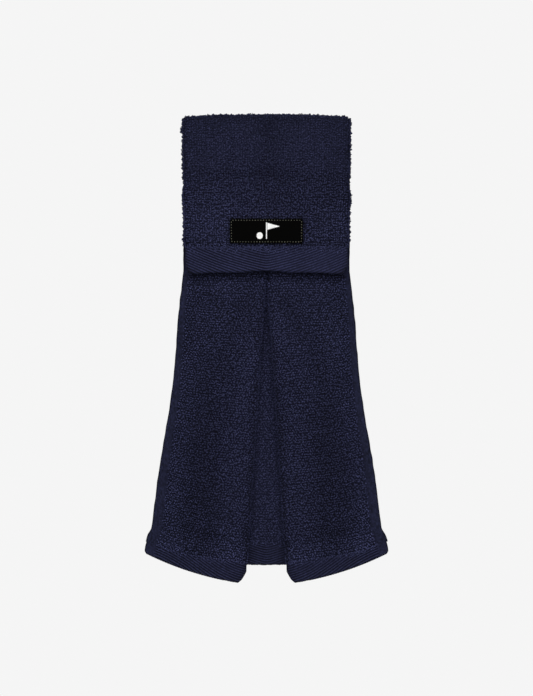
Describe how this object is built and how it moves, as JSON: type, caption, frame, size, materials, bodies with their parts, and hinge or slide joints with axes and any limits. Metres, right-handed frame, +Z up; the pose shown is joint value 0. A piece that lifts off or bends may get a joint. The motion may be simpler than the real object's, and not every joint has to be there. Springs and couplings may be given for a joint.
{
  "type": "golf towel",
  "caption": "Folded terry towel whose short flap closes over a belt or strap, above an inverted-pleat body that flares down to ribbed hems.",
  "frame": {"origin": "middle of the seat on the underside of the top fold, where the towel hangs on a belt or strap", "axes": "+Z up, the front with the flap and label faces -Y, +X to the right of someone looking at the front"},
  "size_m": [0.2152, 0.0203, 0.4133],
  "materials": {
    "terry": "navy cotton terry, looped pile, matt",
    "ribbed_band": "navy flat woven band with fine ribs",
    "side_hem": "navy flat folded hem",
    "seam_thread": "navy polyester sewing thread",
    "label_cloth": "black woven label, matt",
    "label_thread": "grey olive lockstitch thread",
    "embroidery": "white embroidery thread",
    "hook_tape": "black nylon hooks",
    "loop_tape": "black brushed nylon loops"
  },
  "bodies": {
    "fold": {"top_fold": "terry"},
    "flap": {"flap_ply": "terry", "flap_hem_band": "ribbed_band", "flap_band_stitching": "seam_thread", "label_patch": "label_cloth", "label_stitching": "label_thread", "emblem_pin": "embroidery", "emblem_pennant": "embroidery", "emblem_ball": "embroidery", "hook_tape": "hook_tape"},
    "body": {"yoke_ply": "terry", "left_yoke_side_hem": "side_hem", "right_yoke_side_hem": "side_hem", "left_tucked_return": "terry", "right_tucked_return": "terry", "loop_tape": "loop_tape", "loop_tape_stitching": "seam_thread", "pleat_tack_stitching": "seam_thread", "pleat_underlay": "terry", "underlay_hem_band": "ribbed_band", "underlay_hem_stitching": "seam_thread"},
    "left_panel": {"left_panel_ply": "terry", "left_pleat_return": "terry", "left_hem_band": "ribbed_band", "left_return_hem_band": "ribbed_band", "left_side_hem": "side_hem", "left_hem_stitching": "seam_thread", "left_side_stitching": "seam_thread"},
    "right_panel": {"right_panel_ply": "terry", "right_pleat_return": "terry", "right_hem_band": "ribbed_band", "right_return_hem_band": "ribbed_band", "right_side_hem": "side_hem", "right_hem_stitching": "seam_thread", "right_side_stitching": "seam_thread"}
  },
  "joints": [
    {"name": "flap_fold", "type": "hinge", "parent": "fold", "child": "flap", "pos_m": [0, 0, -0.0025], "axis": [-1, 0, 0], "range_deg": [0, 170]},
    {"name": "body_swing", "type": "hinge", "parent": "fold", "child": "body", "pos_m": [0, 0, -0.0025], "axis": [1, 0, 0], "range_deg": [0, 60]},
    {"name": "left_pleat_spread", "type": "hinge", "parent": "body", "child": "left_panel", "pos_m": [0, 0.004, -0.136], "axis": [0, 1, 0], "range_deg": [-3.4, 4]},
    {"name": "right_pleat_spread", "type": "hinge", "parent": "body", "child": "right_panel", "pos_m": [0, 0.004, -0.136], "axis": [0, -1, 0], "range_deg": [-3.4, 4]}
  ]
}
